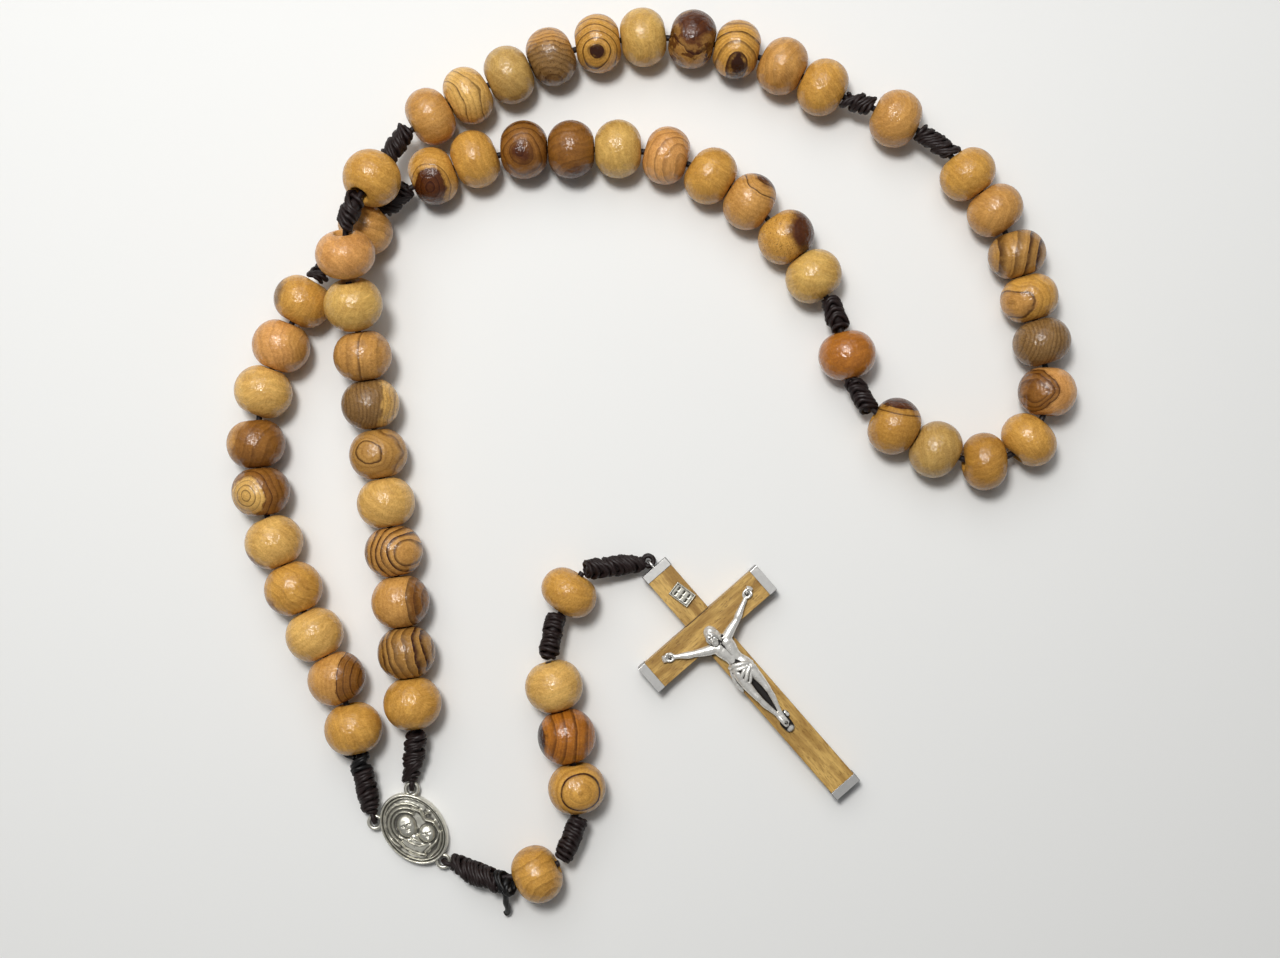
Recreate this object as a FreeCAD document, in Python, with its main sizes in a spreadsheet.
import FreeCAD
import Part
import Sketcher
import math
import os

# A five-decade wooden rosary lying flat in a loop, millimetres, +Z up. The origin is on the
# surface it lies on, under the middle of its outline. Beads turn on a waxed cord, barrel knots
# keep them apart, an oval medal joins the loop to the pendant, and a crucifix ends the pendant.

Vector = FreeCAD.Vector
Rotation = FreeCAD.Rotation
Constraint = Sketcher.Constraint
ALONG_X = Vector(1, 0, 0)
UP = Vector(0, 0, 1)

SIZES = [
    ("bead_radius", 4.0, "widest radius of a turned bead"),
    ("bead_mouth_radius", 1.35, "radius of the bore's mouth at each bead face"),
    ("bead_bore_radius", 1.05, "radius of the drilled bore"),
    ("bead_flare", 0.6, "depth of the bore's flared mouth"),
    ("bead_gap", 0.14, "clear space between neighbouring beads and knots"),
    ("bend_radius", 1.65, "radius at which neighbouring beads would touch on a bend"),
    ("open_gap", 0.25, "more space on each side of the loop's open pivot"),
    ("cord_radius", 0.42, "radius of the waxed cord"),
    ("knot_radius", 1.35, "radius of a barrel knot between beads"),
    ("thick_knot_radius", 1.5, "radius of the long knots at the medal and the crucifix"),
    ("loop_cord_radius", 0.36, "radius of the cord where it is pulled tight through a ring"),
    ("medal_half_height", 5.45, "half of the oval medal's height"),
    ("medal_half_width", 4.05, "half of the oval medal's width"),
    ("medal_thickness", 1.9, "thickness of the medal at its rim"),
    ("medal_rim", 0.75, "width of the medal's raised rim"),
    ("medal_recess", 0.55, "depth of the field inside the rim"),
    ("lug_ring_radius", 0.85, "centre-line radius of each lug ring"),
    ("lug_wire_radius", 0.26, "radius of a lug ring's wire"),
    ("lug_height", 1.25, "height of the lug rings' centres above the surface"),
    ("lug_side", 3.45, "the two upper lugs' distance from the medal's long axis"),
    ("lug_up", 4.3, "the upper lugs' distance above the medal's centre"),
    ("lug_down", 6.1, "the lower lug's distance below the medal's centre"),
    ("beam_width", 4.05, "width of the crucifix's upright"),
    ("crossbar_width", 4.2, "width of the crossbar"),
    ("beam_thickness", 2.8, "thickness of both beams"),
    ("crossbar_rise", 0.3, "how far the crossbar stands above the upright"),
    ("beam_clearance", 0.1, "space under the wood, where the caps carry it"),
    ("upright_above", 11.3, "upright's length above the crossing, cap included"),
    ("upright_below", 29.7, "upright's length below the crossing, cap included"),
    ("arm_reach", 10.9, "crossbar's length on each side of the crossing, cap included"),
    ("cap_length", 1.25, "length of an end cap along its beam"),
    ("cap_wall", 0.1, "wall of an end cap"),
    ("cap_floor", 0.35, "end wall of an end cap"),
    ("eye_radius", 0.75, "centre-line radius of the crucifix's eye"),
    ("eye_wire_radius", 0.2, "radius of the eye's wire"),
    ("eye_reach", 1.15, "distance from the top cap to the eye's far wire"),
    ("eye_loop_radius", 0.72, "centre-line radius of the cord loop in the eye"),
    ("plaque_length", 3.2, "title plaque along the upright"),
    ("plaque_width", 2.15, "title plaque across the upright"),
    ("plaque_thickness", 0.55, "title plaque's thickness at its border"),
    ("plaque_border", 0.25, "width of the plaque's raised border"),
    ("plaque_recess", 0.15, "depth of the plaque's field"),
    ("plaque_turn", 12.0, "degrees that the plaque is set askew"),
    ("plaque_up", 5.9, "the plaque's centre above the crossing"),
    ("plaque_across", 0.5, "the plaque's centre off the upright's middle line"),
    ("corpus_relief", 1.1, "thickness of the corpus's limbs and trunk"),
    ("corpus_head_radius", 1.3, "radius of the corpus's head"),
    ("corpus_head_rise", 2.2, "how far the head stands out from the crossbar"),
    ("foot_block_radius", 0.95, "radius of the block under the feet"),
    ("nail_radius", 0.22, "radius of a corpus nail"),
    ("nail_head_height", 0.15, "height of a nail's head"),
    ("nail_head_radius", 0.36, "radius of a nail's head"),
    ("nail_depth", 1.2, "how deep a nail goes into the wood"),
    ("shift_x", -0.16, "moves the whole layout so that the origin is central"),
    ("shift_y", -0.58, "moves the whole layout so that the origin is central"),
]

# Stops along each strand: x, y, z, then what is threaded on the run to the next stop, as a
# name and a count. The stops are the cord's route too, so the beads follow the cord.
LEFT_STRAND = [
    (-40.3, -40.7, 4.0, "decade_1_bead_1", 1),
    (-41.7, -33.4, 4.0, "decade_1_beads_2_3", 2),
    (-47.9, -21.0, 4.0, "decade_1_beads_4_5", 2),
    (-53.4, -7.9, 4.0, "decade_1_beads_6_7", 2),
    (-54.8, 5.9, 4.0, "decade_1_beads_8_9", 2),
    (-49.7, 19.0, 4.0, "decade_1_bead_10", 1),
    (-46.3, 24.8, 4.0, None, 0),
]
UPPER_LOOP = [
    (-46.3, 24.8, 4.0, "our_father_1_knots", 0),
    (-41.9, 29.9, 4.0, "our_father_bead_1", 1),
    (-36.8, 34.2, 4.0, "our_father_1_knots", 0),
    (-33.2, 37.9, 4.0, "decade_2_beads_1_2", 2),
    (-21.0, 42.8, 4.0, "decade_2_beads_3_5", 3),
    (-1.0, 42.9, 4.0, "decade_2_bead_6", 1),
    (5.4, 41.1, 4.0, "decade_2_beads_7_8", 2),
    (16.6, 33.7, 4.0, "decade_2_beads_9_10", 2),
    (24.5, 22.5, 4.0, "our_father_2_knots", 0),
    (26.4, 17.8, 4.0, "our_father_bead_2", 1),
    (27.9, 11.0, 4.0, "our_father_2_knots", 0),
    (30.4, 6.5, 4.0, "decade_3_beads_1_2", 2),
    (42.6, -0.4, 4.0, "decade_3_bead_3", 1),
    (49.7, 0.0, 4.0, "decade_3_bead_4", 1),
    (54.6, 5.5, 4.0, "decade_3_bead_5", 1),
    (54.9, 13.0, 4.0, "decade_3_beads_6_8", 3),
    (49.6, 31.7, 4.0, "decade_3_beads_9_10", 2),
    (41.7, 42.1, 4.0, "our_father_3_knots", 0),
    (36.9, 45.6, 4.0, "our_father_bead_3", 1),
    (30.8, 48.6, 4.0, "our_father_3_knots", 0),
    (26.7, 49.9, 4.0, "decade_4_beads_1_2", 2),
    (15.2, 55.9, 4.0, "decade_4_beads_3_4", 2),
    (2.4, 58.8, 4.0, "decade_4_beads_5_6", 2),
    (-10.6, 57.0, 4.0, "decade_4_beads_7_8", 2),
    (-22.5, 51.8, 4.0, "decade_4_beads_9_10", 2),
    (-33.3, 45.5, 4.8, "our_father_4_knots", 0),
    (-36.2, 40.7, 7.2, "our_father_bead_4", 1),
    (-39.2, 35.3, 10.6, "our_father_4_knots", 0),
    (-41.1, 31.0, 12.2, "decade_5_bead_1", 1),
    (-40.9, 24.5, 9.0, None, 0),
]
RIGHT_STRAND = [
    (-40.9, 24.5, 9.0, "decade_5_bead_2", 1),
    (-40.0, 17.8, 5.9, "decade_5_beads_3_4", 2),
    (-38.1, 4.3, 4.0, "decade_5_beads_5_7", 3),
    (-34.9, -16.0, 4.0, "decade_5_beads_8_10", 3),
    (-32.4, -37.4, 4.0, None, 0),
]
PENDANT_TOP = [
    (-19.1, -58.9, 4.0, "our_father_bead_5", 1),
    (-12.3, -55.4, 4.0, None, 0),
]
PENDANT_MIDDLE = [
    (-12.3, -55.4, 4.0, "pendant_lower_knot", 0),
    (-9.7, -49.1, 4.0, "pendant_bead_1", 1),
    (-10.6, -41.8, 4.0, "pendant_bead_2", 1),
    (-12.5, -34.6, 4.0, "pendant_bead_3", 1),
    (-14.2, -27.5, 4.0, None, 0),
]
PENDANT_END = [
    (-14.2, -27.5, 4.0, "pendant_upper_knot", 0),
    (-13.0, -21.0, 4.0, "our_father_bead_6", 1),
    (-9.2, -15.2, 4.0, None, 0),
]
MEDAL_CENTRE = (-33.0, -51.4)
MEDAL_TURN = 42.0
CROSSING = (7.9, -23.4)
CROSS_TURN = -48.85

os.makedirs("parts", exist_ok=True)
doc = FreeCAD.newDocument("rosary")
sheet = doc.addObject("Spreadsheet::Sheet", "Sizes")
nodes = []


def add_size(alias, value, note):
    row = add_size.row
    sheet.set(f"A{row}", note)
    sheet.set(f"B{row}", str(value))
    sheet.setAlias(f"B{row}", alias)
    add_size.row += 1


add_size.row = 1
for alias, value, note in SIZES:
    add_size(alias, value, note)
doc.recompute()


def size(alias):
    return float(sheet.get(alias))


def keep(feature):
    """Mark a finished object as a sub-part that is written out under its label."""
    nodes.append(feature)
    return feature


def origin_plane(body, role):
    return next(item for item in body.Origin.OriginFeatures if item.Role == role)


def new_sketch(body, name, role="XY_Plane", lift=None):
    sketch = body.newObject("Sketcher::SketchObject", name)
    sketch.AttachmentSupport = (origin_plane(body, role), [""])
    sketch.MapMode = "FlatFace"
    if lift:
        sketch.setExpression(".AttachmentOffset.Base.z", lift)
    return sketch


def dimension(sketch, name, formula, *parts):
    """Add a named driving dimension and tie it to the sheet."""
    index = sketch.addConstraint(Constraint(*parts))
    sketch.renameConstraint(index, name)
    sketch.setExpression(f"Constraints.{name}", formula)


def rectangle(sketch, centre_x, centre_y, width, height, name):
    """Axis-parallel rectangle; the four arguments are formulas of the sheet."""
    first = sketch.GeometryCount
    corners = [Vector(0, 0), Vector(1, 0), Vector(1, 1), Vector(0, 1)]
    for start, end in zip(corners, corners[1:] + corners[:1]):
        sketch.addGeometry(Part.LineSegment(start, end))
    for side in range(4):
        following = first + (side + 1) % 4
        sketch.addConstraint(Constraint("Coincident", first + side, 2, following, 1))
        level = "Horizontal" if side % 2 == 0 else "Vertical"
        sketch.addConstraint(Constraint(level, first + side))
    dimension(sketch, name + "_wide", width, "DistanceX", first, 1, first, 2, 1.0)
    dimension(sketch, name + "_high", height, "DistanceY", first + 1, 1, first + 1, 2, 1.0)
    dimension(sketch, name + "_left", f"({centre_x}) - ({width}) / 2",
              "DistanceX", -1, 1, first, 1, -0.5)
    dimension(sketch, name + "_low", f"({centre_y}) - ({height}) / 2",
              "DistanceY", -1, 1, first, 1, -0.5)


def polygon(sketch, corners):
    """Closed outline through a list of corners."""
    first = sketch.GeometryCount
    for start, end in zip(corners, corners[1:] + corners[:1]):
        sketch.addGeometry(Part.LineSegment(start, end))
    for side in range(len(corners)):
        following = first + (side + 1) % len(corners)
        sketch.addConstraint(Constraint("Coincident", first + side, 2, following, 1))


def disc(sketch, x, y, radius_alias, name):
    """Circle whose radius is a cell of the sheet."""
    first = sketch.GeometryCount
    sketch.addGeometry(Part.Circle(Vector(x, y, 0), UP, size(radius_alias)))
    dimension(sketch, name, "Sizes." + radius_alias, "Radius", first, size(radius_alias))


def pad(body, sketch, name, length):
    feature = body.newObject("PartDesign::Pad", name)
    feature.Profile = sketch
    feature.setExpression("Length", length)
    body.Tip = feature
    return feature


def pocket(body, sketch, name, depth):
    feature = body.newObject("PartDesign::Pocket", name)
    feature.Profile = sketch
    feature.setExpression("Length", depth)
    body.Tip = feature
    return feature


def turned(body, sketch, name):
    feature = body.newObject("PartDesign::Revolution", name)
    feature.Profile = sketch
    feature.ReferenceAxis = (sketch, ["H_Axis"])
    feature.Angle = 360
    body.Tip = feature
    return feature


def joined(name, shapes, kind="Part::MultiFuse"):
    feature = doc.addObject(kind, name)
    if kind == "Part::MultiFuse":
        feature.Shapes = shapes
    else:
        feature.Links = shapes
    feature.Label = name
    return feature


def stop_point(stop):
    return Vector(stop[0] + size("shift_x"), stop[1] + size("shift_y"), stop[2])


def facing(point, direction):
    """Placement that puts the local X axis along a direction."""
    return FreeCAD.Placement(point, Rotation(ALONG_X, direction))


def turn_between(first, second):
    return first.getAngle(second)


# ---------------------------------------------------------------- beads


def bend_room(turn):
    return size("bead_gap") / 2 + size("bend_radius") * math.tan(turn / 2)


def plan_beads(name, count, start, end, lead, trail):
    """Bead length that fills the run between two stops, less the room left at its ends."""
    gap = size("bead_gap")
    run = (end - start).Length
    length = round((run - lead - trail - (count - 1) * gap) / count, 3)
    add_size(name + "_length", length, "length of each bead in " + name)
    direction = (end - start).normalize()
    place = facing(start + direction * (lead + length / 2), direction)
    return lambda: bead_row(name, count, length, place)


def bead_row(name, count, length, place):
    """Beads turned on one straight axis, the first one's centre at the local origin."""
    alias = name + "_length"
    body = doc.addObject("PartDesign::Body", name)
    body.AllowCompound = True
    sketch = new_sketch(body, name + "_profile")
    half = length / 2
    mouth = size("bead_mouth_radius")
    bore = size("bead_bore_radius")
    flare = size("bead_flare")
    rise = size("bead_radius") - mouth
    crown = (rise ** 2 + half ** 2) / (2 * rise)
    centre = size("bead_radius") - crown
    start_angle = math.atan2(mouth - centre, half)
    circle = Part.Circle(Vector(0, centre, 0), UP, crown)
    sketch.addGeometry(Part.ArcOfCircle(circle, start_angle, math.pi - start_angle))
    outline = [Vector(-half, mouth), Vector(-half + flare, bore)]
    outline += [Vector(half - flare, bore), Vector(half, mouth)]
    for point, following in zip(outline, outline[1:]):
        sketch.addGeometry(Part.LineSegment(point, following))
    for element in range(4):
        following = (element + 1) % 4
        sketch.addConstraint(Constraint("Coincident", element, 2, following, 1))
    sketch.addConstraint(Constraint("Horizontal", 2))
    sketch.addConstraint(Constraint("Symmetric", 0, 1, 0, 2, -2))
    rise_formula = "(Sizes.bead_radius - Sizes.bead_mouth_radius)"
    crown_formula = f"({rise_formula}^2 + (Sizes.{alias} / 2)^2) / (2 * {rise_formula})"
    dimension(sketch, "long", "Sizes." + alias, "DistanceX", 0, 2, 0, 1, length)
    dimension(sketch, "mouth", "Sizes.bead_mouth_radius", "DistanceY", -1, 1, 0, 1, mouth)
    dimension(sketch, "bore", "Sizes.bead_bore_radius", "DistanceY", -1, 1, 2, 1, bore)
    dimension(sketch, "flare_in", "Sizes.bead_flare", "DistanceX", 0, 2, 2, 1, flare)
    dimension(sketch, "flare_out", "Sizes.bead_flare", "DistanceX", 2, 2, 0, 1, flare)
    dimension(sketch, "crown", crown_formula, "Radius", 0, crown)
    bead = turned(body, sketch, name + "_turned")
    if count > 1:
        row = body.newObject("PartDesign::LinearPattern", name + "_row")
        row.Originals = [bead]
        row.Direction = (sketch, ["H_Axis"])
        row.Occurrences = count
        row.Mode = "Spacing"
        row.setExpression("Offset", f"Sizes.{alias} + Sizes.bead_gap")
        body.Tip = row
    body.Placement = place
    return keep(body)


# ---------------------------------------------------------------- knots and cord


def plan_barrel(name, length, radius_alias, place):
    length = round(length, 3)
    add_size(name + "_length", length, "length of " + name)
    return lambda: barrel(name, length, radius_alias, place)


def barrel(name, length, radius_alias, place):
    """Barrel knot with rounded ends, local X along the cord from its first end."""
    alias = name + "_length"
    radius = size(radius_alias)
    body = doc.addObject("PartDesign::Body", name)
    sketch = new_sketch(body, name + "_profile")
    first_centre = Vector(radius, 0, 0)
    last_centre = Vector(length - radius, 0, 0)
    first_cap = Part.Circle(first_centre, UP, radius)
    last_cap = Part.Circle(last_centre, UP, radius)
    sketch.addGeometry(Part.ArcOfCircle(first_cap, math.pi / 2, math.pi))
    sketch.addGeometry(Part.LineSegment(Vector(radius, radius), Vector(length - radius, radius)))
    sketch.addGeometry(Part.ArcOfCircle(last_cap, 0, math.pi / 2))
    sketch.addGeometry(Part.LineSegment(Vector(0, 0), Vector(length, 0)))
    sketch.addConstraint(Constraint("Coincident", 3, 1, -1, 1))
    sketch.addConstraint(Constraint("Coincident", 0, 2, 3, 1))
    sketch.addConstraint(Constraint("Coincident", 2, 1, 3, 2))
    sketch.addConstraint(Constraint("Horizontal", 3))
    sketch.addConstraint(Constraint("Tangent", 0, 1, 1, 1))
    sketch.addConstraint(Constraint("Tangent", 1, 2, 2, 2))
    sketch.addConstraint(Constraint("PointOnObject", 0, 3, -1))
    sketch.addConstraint(Constraint("PointOnObject", 2, 3, -1))
    dimension(sketch, "round_in", "Sizes." + radius_alias, "Radius", 0, radius)
    dimension(sketch, "round_out", "Sizes." + radius_alias, "Radius", 2, radius)
    dimension(sketch, "long", "Sizes." + alias, "DistanceX", 3, 1, 3, 2, length)
    turned(body, sketch, name + "_wound")
    body.Placement = place
    return body


def plan_knot(name, start, end):
    direction = (end - start).normalize()
    margin = size("bead_gap") / 2
    length = (end - start).Length - 2 * margin
    return plan_barrel(name, length, "knot_radius", facing(start + direction * margin, direction))


def plan_ring_knot(name, pivot, end, radius_alias, ring_radius, stand_off, upright_loop):
    direction = (end - pivot).normalize()
    length = (end - pivot).Length - stand_off - size("bead_gap") / 2
    place = facing(pivot + direction * stand_off, direction)
    wound = plan_barrel(name + "_barrel", length, radius_alias, place)
    return lambda: ring_knot(name, pivot, direction, ring_radius, upright_loop, wound())


def ring_knot(name, pivot, direction, ring_radius, upright_loop, wound):
    """Long knot that hangs on a metal ring by its own loop of cord."""
    level = Vector(direction.x, direction.y, 0).normalize()
    loop = doc.addObject("Part::Torus", name + "_loop")
    loop.setExpression("Radius1", ring_radius)
    loop.setExpression("Radius2", "Sizes.loop_cord_radius")
    if upright_loop:
        centre = pivot + level * size("lug_ring_radius")
        loop.Placement = FreeCAD.Placement(centre, Rotation(UP, level.cross(UP)))
    else:
        loop.Placement = FreeCAD.Placement(pivot, Rotation())
    return keep(joined(name, [wound, loop]))


# Share of the shorter run that each tangent arc takes up.
ARC_SHARE = 0.45


def rounded_path(points, name):
    """Straight runs joined by tangent arcs as large as the two runs allow."""
    edges = []
    radii = []
    here = points[0]
    for before, corner, after in zip(points, points[1:], points[2:]):
        arriving = (corner - before).normalize()
        leaving = (after - corner).normalize()
        turn = turn_between(arriving, leaving)
        tangent = ARC_SHARE * min((corner - before).Length, (after - corner).Length)
        radii.append(tangent / math.tan(turn / 2))
        arc_start = corner - arriving * tangent
        arc_end = corner + leaving * tangent
        inward = (leaving - arriving).normalize()
        centre_distance = math.hypot(radii[-1], tangent)
        arc_middle = corner + inward * (centre_distance - radii[-1])
        edges.append(Part.LineSegment(here, arc_start).toShape())
        edges.append(Part.Arc(arc_start, arc_middle, arc_end).toShape())
        here = arc_end
    edges.append(Part.LineSegment(here, points[-1]).toShape())
    print(name, "bend radii", [round(radius, 1) for radius in radii])
    return Part.Wire(edges)


def cord(name, points):
    """Plain round tube along the route."""
    path = rounded_path(points, name)
    radius = size("cord_radius")
    section = Part.Wire(Part.Circle(points[0], points[1] - points[0], radius).toShape())
    tube = path.makePipeShell([section], True, False)
    expected = math.pi * radius ** 2 * path.Length
    print(name, "length", round(path.Length, 1), "volume ratio", round(tube.Volume / expected, 4))
    feature = doc.addObject("Part::Feature", name)
    feature.Label = name
    feature.Shape = tube
    return keep(feature)


def toward(start, end, distance):
    return start + (end - start).normalize() * distance


def thread(strand, before, after, open_start=0.0, open_end=0.0):
    """Plan every bead row and knot of a strand on the runs between its stops.

    before and after are the route's next points beyond the strand's two ends.
    """
    points = [stop_point(stop) for stop in strand]
    route = [before] + points + [after]
    for index, stop in enumerate(strand[:-1]):
        start = points[index]
        end = points[index + 1]
        lead = bend_room(turn_between(start - route[index], end - start))
        trail = bend_room(turn_between(end - start, route[index + 3] - end))
        if index == 0:
            lead += open_start
        if index + 2 == len(points):
            trail += open_end
        name = stop[3]
        if stop[4]:
            builders.append(plan_beads(name, stop[4], start, end, lead, trail))
        else:
            group = knot_groups.setdefault(name, [])
            group.append(plan_knot(f"{name}_{len(group) + 1}", start, end))
    return points


def medal_place():
    centre = Vector(MEDAL_CENTRE[0] + size("shift_x"), MEDAL_CENTRE[1] + size("shift_y"), 0)
    return FreeCAD.Placement(centre, Rotation(UP, MEDAL_TURN))


def lug_centre(side, along):
    return medal_place().multVec(Vector(side, along, size("lug_height")))


def cross_place():
    centre = Vector(CROSSING[0] + size("shift_x"), CROSSING[1] + size("shift_y"), 0)
    return FreeCAD.Placement(centre, Rotation(UP, CROSS_TURN))


def eye_height():
    return size("beam_clearance") + size("beam_thickness") / 2


left_lug = lug_centre(-size("lug_side"), size("lug_up"))
right_lug = lug_centre(size("lug_side"), size("lug_up"))
lower_lug = lug_centre(0, -size("lug_down"))
eye_wire = cross_place().multVec(
    Vector(-size("upright_above") - size("eye_reach"), 0, eye_height()))

builders = []
knot_groups = {}
open_gap = size("open_gap")
left_points = thread(LEFT_STRAND, left_lug, stop_point(UPPER_LOOP[1]))
upper_points = thread(UPPER_LOOP, left_points[-2], stop_point(RIGHT_STRAND[1]),
                      open_end=open_gap)
right_points = thread(RIGHT_STRAND, upper_points[-2], right_lug, open_start=open_gap)
top_points = thread(PENDANT_TOP, lower_lug, stop_point(PENDANT_MIDDLE[1]))
middle_points = thread(PENDANT_MIDDLE, top_points[0], stop_point(PENDANT_END[1]))
end_points = thread(PENDANT_END, middle_points[-2], eye_wire)
# How far a knot's barrel starts from the ring or eye that it hangs on.
RING_STAND_OFF = 1.35
EYE_STAND_OFF = 0.75
for name, lug, stop in [
    ("left_medal_knot", left_lug, left_points[0]),
    ("right_medal_knot", right_lug, right_points[-1]),
    ("pendant_medal_knot", lower_lug, top_points[0]),
]:
    builders.append(plan_ring_knot(name, lug, stop, "thick_knot_radius",
                                   "Sizes.lug_ring_radius", RING_STAND_OFF, True))
builders.append(plan_ring_knot("crucifix_knot", eye_wire, end_points[-1], "knot_radius",
                               "Sizes.eye_loop_radius", EYE_STAND_OFF, False))

# ---------------------------------------------------------------- medal


def ellipse(sketch, half_height, half_width, name):
    """Ellipse about the sketch's origin, its long axis along Y; sizes are formulas."""
    first = sketch.GeometryCount
    shape = Part.Ellipse(Vector(0, 2, 0), Vector(1, 0, 0), Vector(0, 0, 0))
    sketch.addGeometry(shape)
    sketch.exposeInternalGeometry(first)
    sketch.addConstraint(Constraint("Coincident", first, 3, -1, 1))
    sketch.addConstraint(Constraint("Vertical", first + 1))
    dimension(sketch, name + "_high", f"2 * ({half_height})", "Distance", first + 1, 4.0)
    dimension(sketch, name + "_wide", f"2 * ({half_width})", "Distance", first + 2, 2.0)


# Low swellings of the medal's field: name, across and along its axes, radius, height.
MEDAL_RELIEF = [
    ("mother_head", -0.1, 1.4, 1.25, 0.75),
    ("child_head", 0.9, -1.8, 0.95, 0.7),
    ("mother_shoulders", -0.9, -1.9, 1.8, 0.5),
]


def medal():
    """Oval medal with a rim, a mother and child in low relief, and three lug rings."""
    body = doc.addObject("PartDesign::Body", "medal_plate")
    outline = new_sketch(body, "medal_outline")
    ellipse(outline, "Sizes.medal_half_height", "Sizes.medal_half_width", "outline")
    pad(body, outline, "medal_blank", "Sizes.medal_thickness")
    field = new_sketch(body, "medal_field", lift="Sizes.medal_thickness")
    ellipse(field, "Sizes.medal_half_height - Sizes.medal_rim",
            "Sizes.medal_half_width - Sizes.medal_rim", "field")
    pocket(body, field, "medal_recessed", "Sizes.medal_recess")
    floor = size("medal_thickness") - size("medal_recess")
    relief = []
    for name, across, along, reach, height in MEDAL_RELIEF:
        lump = doc.addObject("Part::Ellipsoid", name)
        lump.Radius1 = height
        lump.Radius2 = reach
        lump.Radius3 = reach
        lump.Placement = FreeCAD.Placement(Vector(across, along, floor), Rotation())
        relief.append(lump)
    lugs = []
    for name, across, along in [
        ("left_lug", "-Sizes.lug_side", "Sizes.lug_up"),
        ("right_lug", "Sizes.lug_side", "Sizes.lug_up"),
        ("lower_lug", "0", "-Sizes.lug_down"),
    ]:
        ring = doc.addObject("Part::Torus", name)
        ring.setExpression("Radius1", "Sizes.lug_ring_radius")
        ring.setExpression("Radius2", "Sizes.lug_wire_radius")
        ring.setExpression(".Placement.Base.x", across)
        ring.setExpression(".Placement.Base.y", along)
        ring.setExpression(".Placement.Base.z", "Sizes.lug_height")
        lugs.append(ring)
    whole = joined("centrepiece_medal", [body] + relief + lugs)
    whole.Placement = medal_place()
    return keep(whole)


# ---------------------------------------------------------------- crucifix


UNDERSIDE = "Sizes.beam_clearance"
BAR_UNDERSIDE = "Sizes.beam_clearance + Sizes.crossbar_rise"
WOOD_TOP = "Sizes.beam_clearance + Sizes.beam_thickness"
BAR_TOP = WOOD_TOP + " + Sizes.crossbar_rise"
CAP_POCKET = "(Sizes.cap_length - Sizes.cap_floor)"
# Places on the crucifix: x down the upright from the crossing, y along the crossbar.
HANDS = [(-0.5, -6.5), (-0.15, 7.3)]
HEAD = (0.9, 0.0)
FEET = (16.8, -0.3)
FOOT_BLOCK = (17.4, -0.3)


def nail_holes(body, name, places, top, depth="Sizes.nail_depth"):
    sketch = new_sketch(body, name + "_places", lift=top)
    for index, (x, y) in enumerate(places):
        disc(sketch, x, y, "nail_radius", f"hole_{index}")
    pocket(body, sketch, name, depth)


def upright():
    body = doc.addObject("PartDesign::Body", "crucifix_upright")
    plan = new_sketch(body, "upright_plan", lift=UNDERSIDE)
    long = "(Sizes.upright_above + Sizes.upright_below - 2 * Sizes.cap_floor)"
    middle = "(Sizes.upright_below - Sizes.upright_above) / 2"
    rectangle(plan, middle, "0", long, "Sizes.beam_width", "plan")
    pad(body, plan, "upright_beam", "Sizes.beam_thickness")
    lap = new_sketch(body, "upright_lap", lift=WOOD_TOP)
    rectangle(lap, "0", "0", "Sizes.crossbar_width", "2 * Sizes.beam_width", "lap")
    pocket(body, lap, "upright_notch", "Sizes.beam_thickness / 2")
    nail_holes(body, "upright_nail_hole", [FEET], WOOD_TOP)
    body.Placement = cross_place()
    return keep(body)


def crossbar():
    body = doc.addObject("PartDesign::Body", "crucifix_crossbar")
    plan = new_sketch(body, "crossbar_plan", lift=BAR_UNDERSIDE)
    long = "(2 * Sizes.arm_reach - 2 * Sizes.cap_floor)"
    rectangle(plan, "0", "0", "Sizes.crossbar_width", long, "plan")
    pad(body, plan, "crossbar_beam", "Sizes.beam_thickness")
    lap = new_sketch(body, "crossbar_lap", lift="Sizes.beam_clearance + Sizes.beam_thickness / 2")
    rectangle(lap, "0", "0", "2 * Sizes.crossbar_width", "Sizes.beam_width", "lap")
    notch = pocket(body, lap, "crossbar_notch", "Sizes.beam_thickness")
    notch.Reversed = False
    nail_holes(body, "crossbar_nail_holes", HANDS, BAR_TOP)
    body.Placement = cross_place()
    return keep(body)


def end_cap(name, place, width):
    """Metal cap, local X pointing out of the beam's end, its outer face at X = 0."""
    body = doc.addObject("PartDesign::Body", name)
    face = new_sketch(body, name + "_face", "YZ_Plane")
    high = "(Sizes.beam_thickness + 2 * Sizes.cap_wall)"
    middle = "Sizes.beam_thickness / 2"
    wide = f"({width} + 2 * Sizes.cap_wall)"
    rectangle(face, "0", middle, wide, high, "outer")
    block = pad(body, face, name + "_block", "Sizes.cap_length")
    block.Reversed = True
    mouth = new_sketch(body, name + "_mouth", "YZ_Plane", lift="-Sizes.cap_length")
    rectangle(mouth, "0", middle, width, "Sizes.beam_thickness", "inner")
    hollow = pocket(body, mouth, name + "_hollow", CAP_POCKET)
    hollow.Reversed = True
    body.Placement = cross_place().multiply(place)
    return body


def end_caps():
    low = size("beam_clearance")
    bar_low = low + size("crossbar_rise")
    reach = size("arm_reach")
    above = Vector(-size("upright_above"), 0, low)
    below = Vector(size("upright_below"), 0, low)
    place = FreeCAD.Placement
    caps = [
        end_cap("cap_above", place(above, Rotation(UP, 180)), "Sizes.beam_width"),
        end_cap("cap_below", place(below, Rotation()), "Sizes.beam_width"),
        end_cap("cap_left", place(Vector(0, -reach, bar_low), Rotation(UP, -90)),
                "Sizes.crossbar_width"),
        end_cap("cap_right", place(Vector(0, reach, bar_low), Rotation(UP, 90)),
                "Sizes.crossbar_width"),
    ]
    return keep(joined("crucifix_end_caps", caps, "Part::Compound"))


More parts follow.
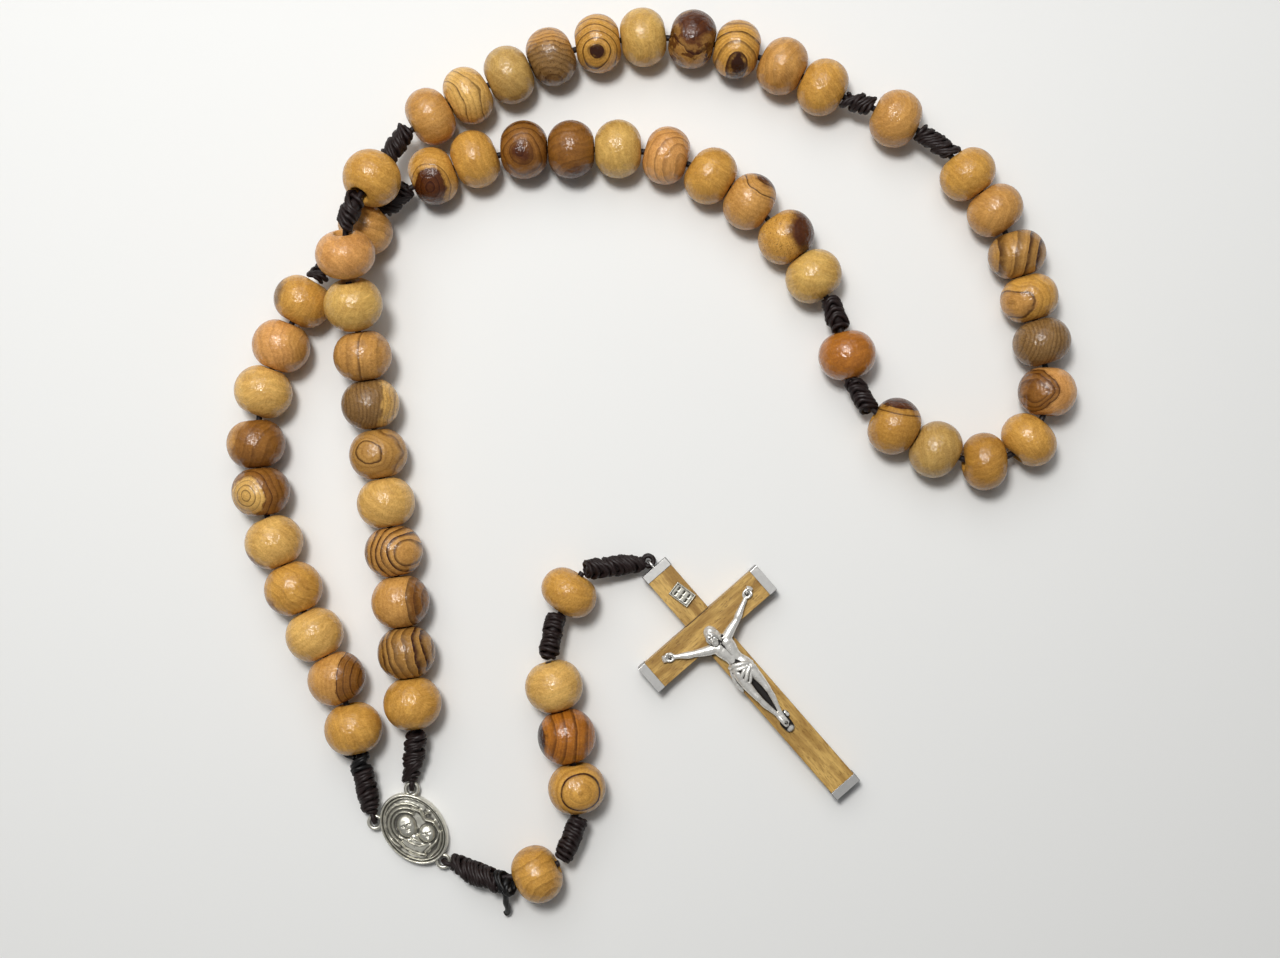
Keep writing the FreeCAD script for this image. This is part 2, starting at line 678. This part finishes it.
def eye():
    """Staple-shaped eye standing out of the top cap, in the upright's own vertical plane."""
    bend_x = -size("upright_above") - size("eye_reach") + size("eye_radius")
    bend = doc.addObject("Part::Torus", "eye_bend")
    bend.setExpression("Radius1", "Sizes.eye_radius")
    bend.setExpression("Radius2", "Sizes.eye_wire_radius")
    bend.Angle3 = 180
    on_side = Rotation(Vector(1, 0, 0), 90)
    bend.Placement = FreeCAD.Placement(Vector(bend_x, 0, eye_height()),
                                       Rotation(Vector(0, 1, 0), -90).multiply(on_side))
    legs = []
    for name, sign in (("eye_leg_low", -1), ("eye_leg_high", 1)):
        leg = doc.addObject("Part::Cylinder", name)
        leg.setExpression("Radius", "Sizes.eye_wire_radius")
        leg.setExpression("Height", "Sizes.eye_reach - Sizes.eye_radius")
        foot = Vector(bend_x, 0, eye_height() + sign * size("eye_radius"))
        leg.Placement = FreeCAD.Placement(foot, Rotation(UP, ALONG_X))
        legs.append(leg)
    whole = joined("crucifix_eye", [bend] + legs)
    whole.Placement = cross_place()
    return keep(whole)


def plaque():
    """Small title plate with a raised border and two plain raised bars in place of letters."""
    body = doc.addObject("PartDesign::Body", "title_plaque")
    plan = new_sketch(body, "plaque_plan")
    rectangle(plan, "0", "0", "Sizes.plaque_length", "Sizes.plaque_width", "plan")
    pad(body, plan, "plaque_blank", "Sizes.plaque_thickness")
    field = new_sketch(body, "plaque_field", lift="Sizes.plaque_thickness")
    for name, centre in (("upper", "-1"), ("lower", "1")):
        cell = "((Sizes.plaque_length - 3 * Sizes.plaque_border) / 2)"
        offset = f"({centre}) * ({cell} + Sizes.plaque_border) / 2"
        wide = "Sizes.plaque_width - 2 * Sizes.plaque_border"
        rectangle(field, offset, "0", cell, wide, name)
    pocket(body, field, "plaque_cells", "Sizes.plaque_recess")
    top = size("beam_clearance") + size("beam_thickness")
    centre = Vector(-size("plaque_up"), size("plaque_across"), top)
    seat = FreeCAD.Placement(centre, Rotation(UP, size("plaque_turn")))
    body.Placement = cross_place().multiply(seat)
    return keep(body)


# Half outlines of the corpus from the neck to the toes: x down the upright, y outward.
RIGHT_SIDE = [
    (1.4, 0.5), (1.3, 1.5), (-0.7, 6.6), (-0.7, 8.0), (0.4, 8.0), (0.6, 6.7), (3.1, 1.9),
    (5.9, 1.4), (7.6, 1.9), (9.5, 1.7), (11.4, 1.2), (15.6, 0.6), (17.6, 0.7),
]
LEFT_SIDE = [
    (1.4, 0.5), (1.4, 1.4), (-1.1, 5.9), (-1.2, 7.2), (-0.1, 7.2), (0.2, 6.0), (3.1, 1.7),
    (5.9, 1.0), (7.6, 1.7), (8.6, 2.2), (9.9, 1.8), (11.4, 1.4), (15.6, 1.0), (17.6, 1.2),
]


def corpus():
    """Flat-backed stand-in figure with a raised head, a foot block and three nail holes."""
    body = doc.addObject("PartDesign::Body", "corpus")
    outline = new_sketch(body, "corpus_outline", lift=BAR_TOP)
    right = [Vector(x, y) for x, y in RIGHT_SIDE]
    left = [Vector(x, -y) for x, y in reversed(LEFT_SIDE)]
    polygon(outline, right + left)
    pad(body, outline, "corpus_figure", "Sizes.corpus_relief")
    face = new_sketch(body, "corpus_head", lift=BAR_TOP)
    disc(face, *HEAD, "corpus_head_radius", "head")
    pad(body, face, "corpus_raised_head", "Sizes.corpus_head_rise")
    block = new_sketch(body, "corpus_foot_block", lift=WOOD_TOP)
    disc(block, *FOOT_BLOCK, "foot_block_radius", "block")
    pad(body, block, "corpus_block", "Sizes.crossbar_rise + Sizes.corpus_relief / 2")
    nail_holes(body, "corpus_nail_holes", HANDS + [FEET], BAR_TOP + " + Sizes.corpus_relief",
               "Sizes.corpus_relief + Sizes.crossbar_rise")
    body.Placement = cross_place()
    return keep(body)


def nails():
    """Three pins with low heads, one through each palm and one through the feet."""
    wood = size("beam_clearance") + size("beam_thickness")
    back = wood + size("crossbar_rise")
    head_at = back + size("corpus_relief")
    pins = []
    for name, (x, y), surface in [
        ("left_nail", HANDS[0], back),
        ("right_nail", HANDS[1], back),
        ("foot_nail", FEET, wood),
    ]:
        base = surface - size("nail_depth")
        shank = doc.addObject("Part::Cylinder", name + "_shank")
        shank.setExpression("Radius", "Sizes.nail_radius")
        shank.Height = head_at - base
        shank.Placement = FreeCAD.Placement(Vector(x, y, base), Rotation())
        head = doc.addObject("Part::Cylinder", name + "_head")
        head.setExpression("Radius", "Sizes.nail_head_radius")
        head.setExpression("Height", "Sizes.nail_head_height")
        head.Placement = FreeCAD.Placement(Vector(x, y, head_at), Rotation())
        pins.append(joined(name, [shank, head]))
    whole = joined("corpus_nails", pins, "Part::Compound")
    whole.Placement = cross_place()
    return keep(whole)


doc.recompute()
for build in builders:
    build()
for name, planned in knot_groups.items():
    keep(joined(name, [build() for build in planned], "Part::Compound"))
medal()
upright()
crossbar()
end_caps()
eye()
plaque()
corpus()
nails()

# ---------------------------------------------------------------- cord runs

# A length of cord starts inside a knot of its own and stops in the mouth of its last bead,
# short of the rounded knot end that swings there.
KNOT_COVER = 4.0
FREE_END = 0.35
knot_end = size("knot_radius")
for name, start, points, opening in [
    ("left_strand_cord", left_lug, left_points, 0.0),
    ("right_strand_cord", right_lug, right_points[::-1], open_gap),
    ("pendant_cord_1", lower_lug, top_points, 0.0),
]:
    first = toward(start, points[0], KNOT_COVER)
    last = toward(points[-1], points[-2], FREE_END + opening)
    cord(name, [first] + points[:-1] + [last])
for name, points, opening in [
    ("upper_loop_cord", upper_points, open_gap),
    ("pendant_cord_2", middle_points, 0.0),
    ("pendant_cord_3", end_points, 0.0),
]:
    first = toward(points[0], points[1], knot_end)
    last = toward(points[-1], points[-2], FREE_END + opening)
    cord(name, [first] + points[1:-1] + [last])

doc.recompute()
for item in doc.Objects:
    bad = [state for state in item.State if state in ("Invalid", "Error")]
    if bad:
        raise RuntimeError(f"{item.Name} failed: {item.getStatusString()}")
for node in nodes:
    if node.Shape.isNull() or not node.Shape.isValid() or not node.Shape.Solids:
        raise RuntimeError(f"{node.Label} has no valid solid")
for node in nodes:
    node.Shape.exportStep(f"parts/{node.Label}.step")
box = FreeCAD.BoundBox()
for node in nodes:
    box.add(node.Shape.BoundBox)
print(len(nodes), "nodes, box", box)
